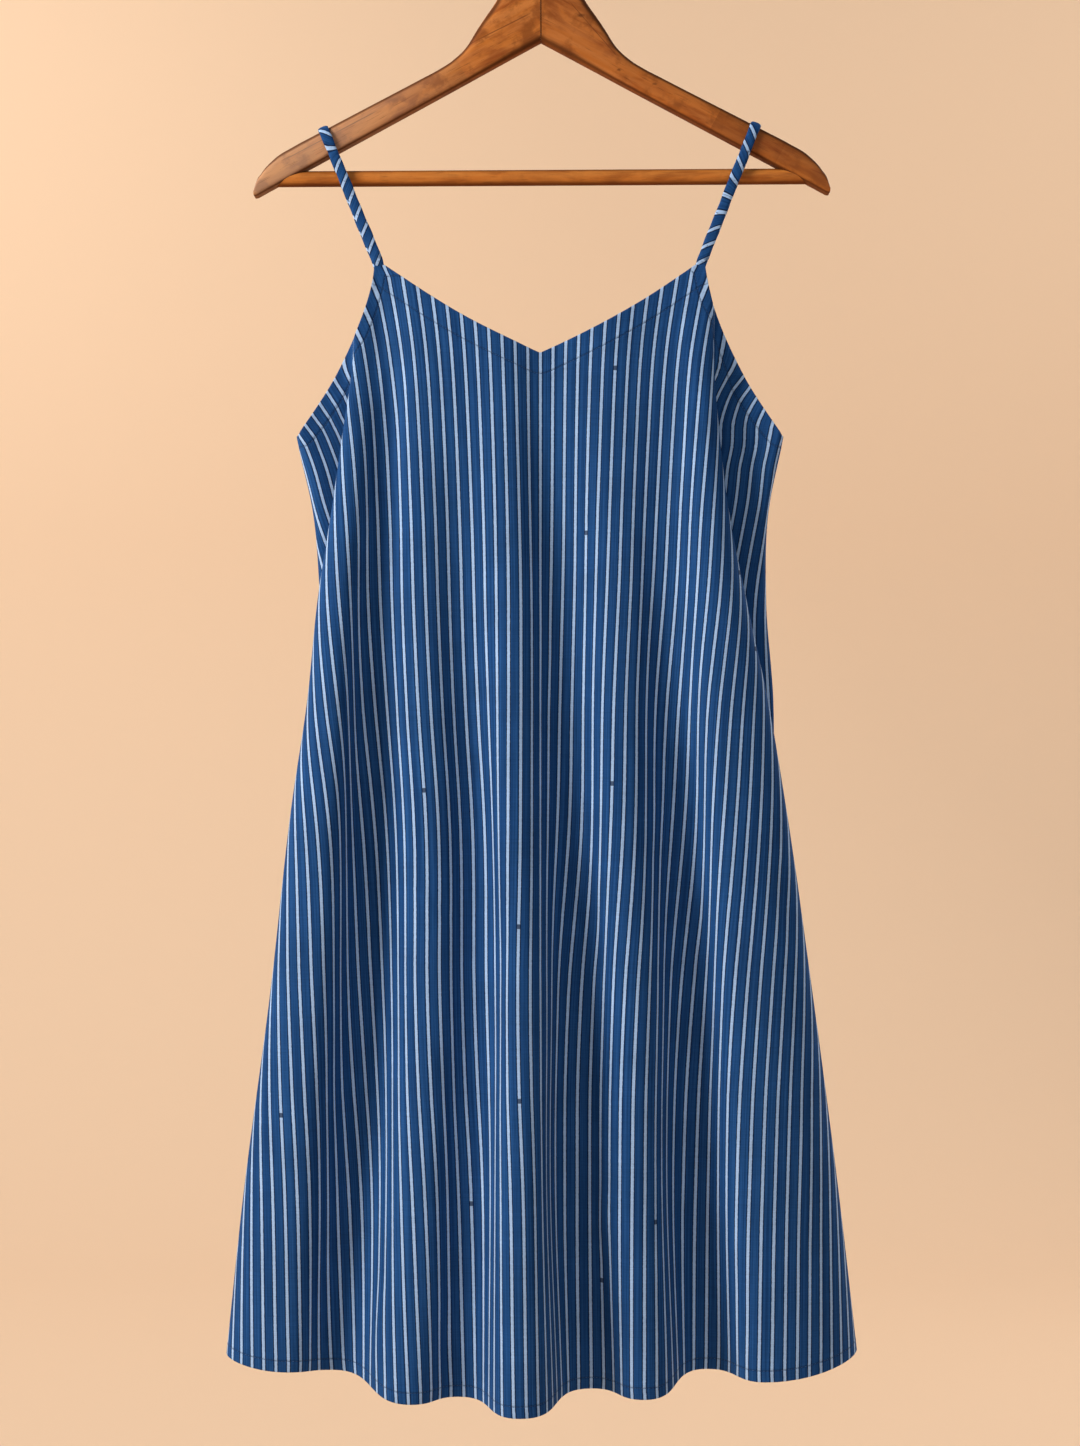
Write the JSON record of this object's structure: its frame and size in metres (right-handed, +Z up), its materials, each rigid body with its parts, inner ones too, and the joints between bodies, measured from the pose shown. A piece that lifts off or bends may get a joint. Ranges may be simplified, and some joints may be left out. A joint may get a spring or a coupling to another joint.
{
  "type": "a-line camisole dress on a wooden hanger",
  "caption": "Sleeveless A-line dress with a V neck and narrow straps, in pinstriped cloth, hanging from a wooden hanger with a trouser bar and a wire hook.",
  "frame": {"origin": "the top of the hook's inside, where it rests on a rail", "axes": "+X to the right as the dress is seen from its front, the front faces -Y, +Z up"},
  "size_m": [0.4846, 0.1478, 1.1797],
  "materials": {
    "striped_cloth": "matt woven cloth with fine vertical pinstripes",
    "strap_cloth": "the same cloth cut on the bias",
    "varnished_wood": "satin varnish",
    "bright_steel": "polished wire"
  },
  "bodies": {
    "root": {"front_panel": "striped_cloth", "back_panel": "striped_cloth", "strap_left": "strap_cloth", "strap_right": "strap_cloth", "hanger_arm_left": "varnished_wood", "hanger_arm_right": "varnished_wood", "trouser_bar": "varnished_wood", "hook": "bright_steel"}
  },
  "joints": []
}
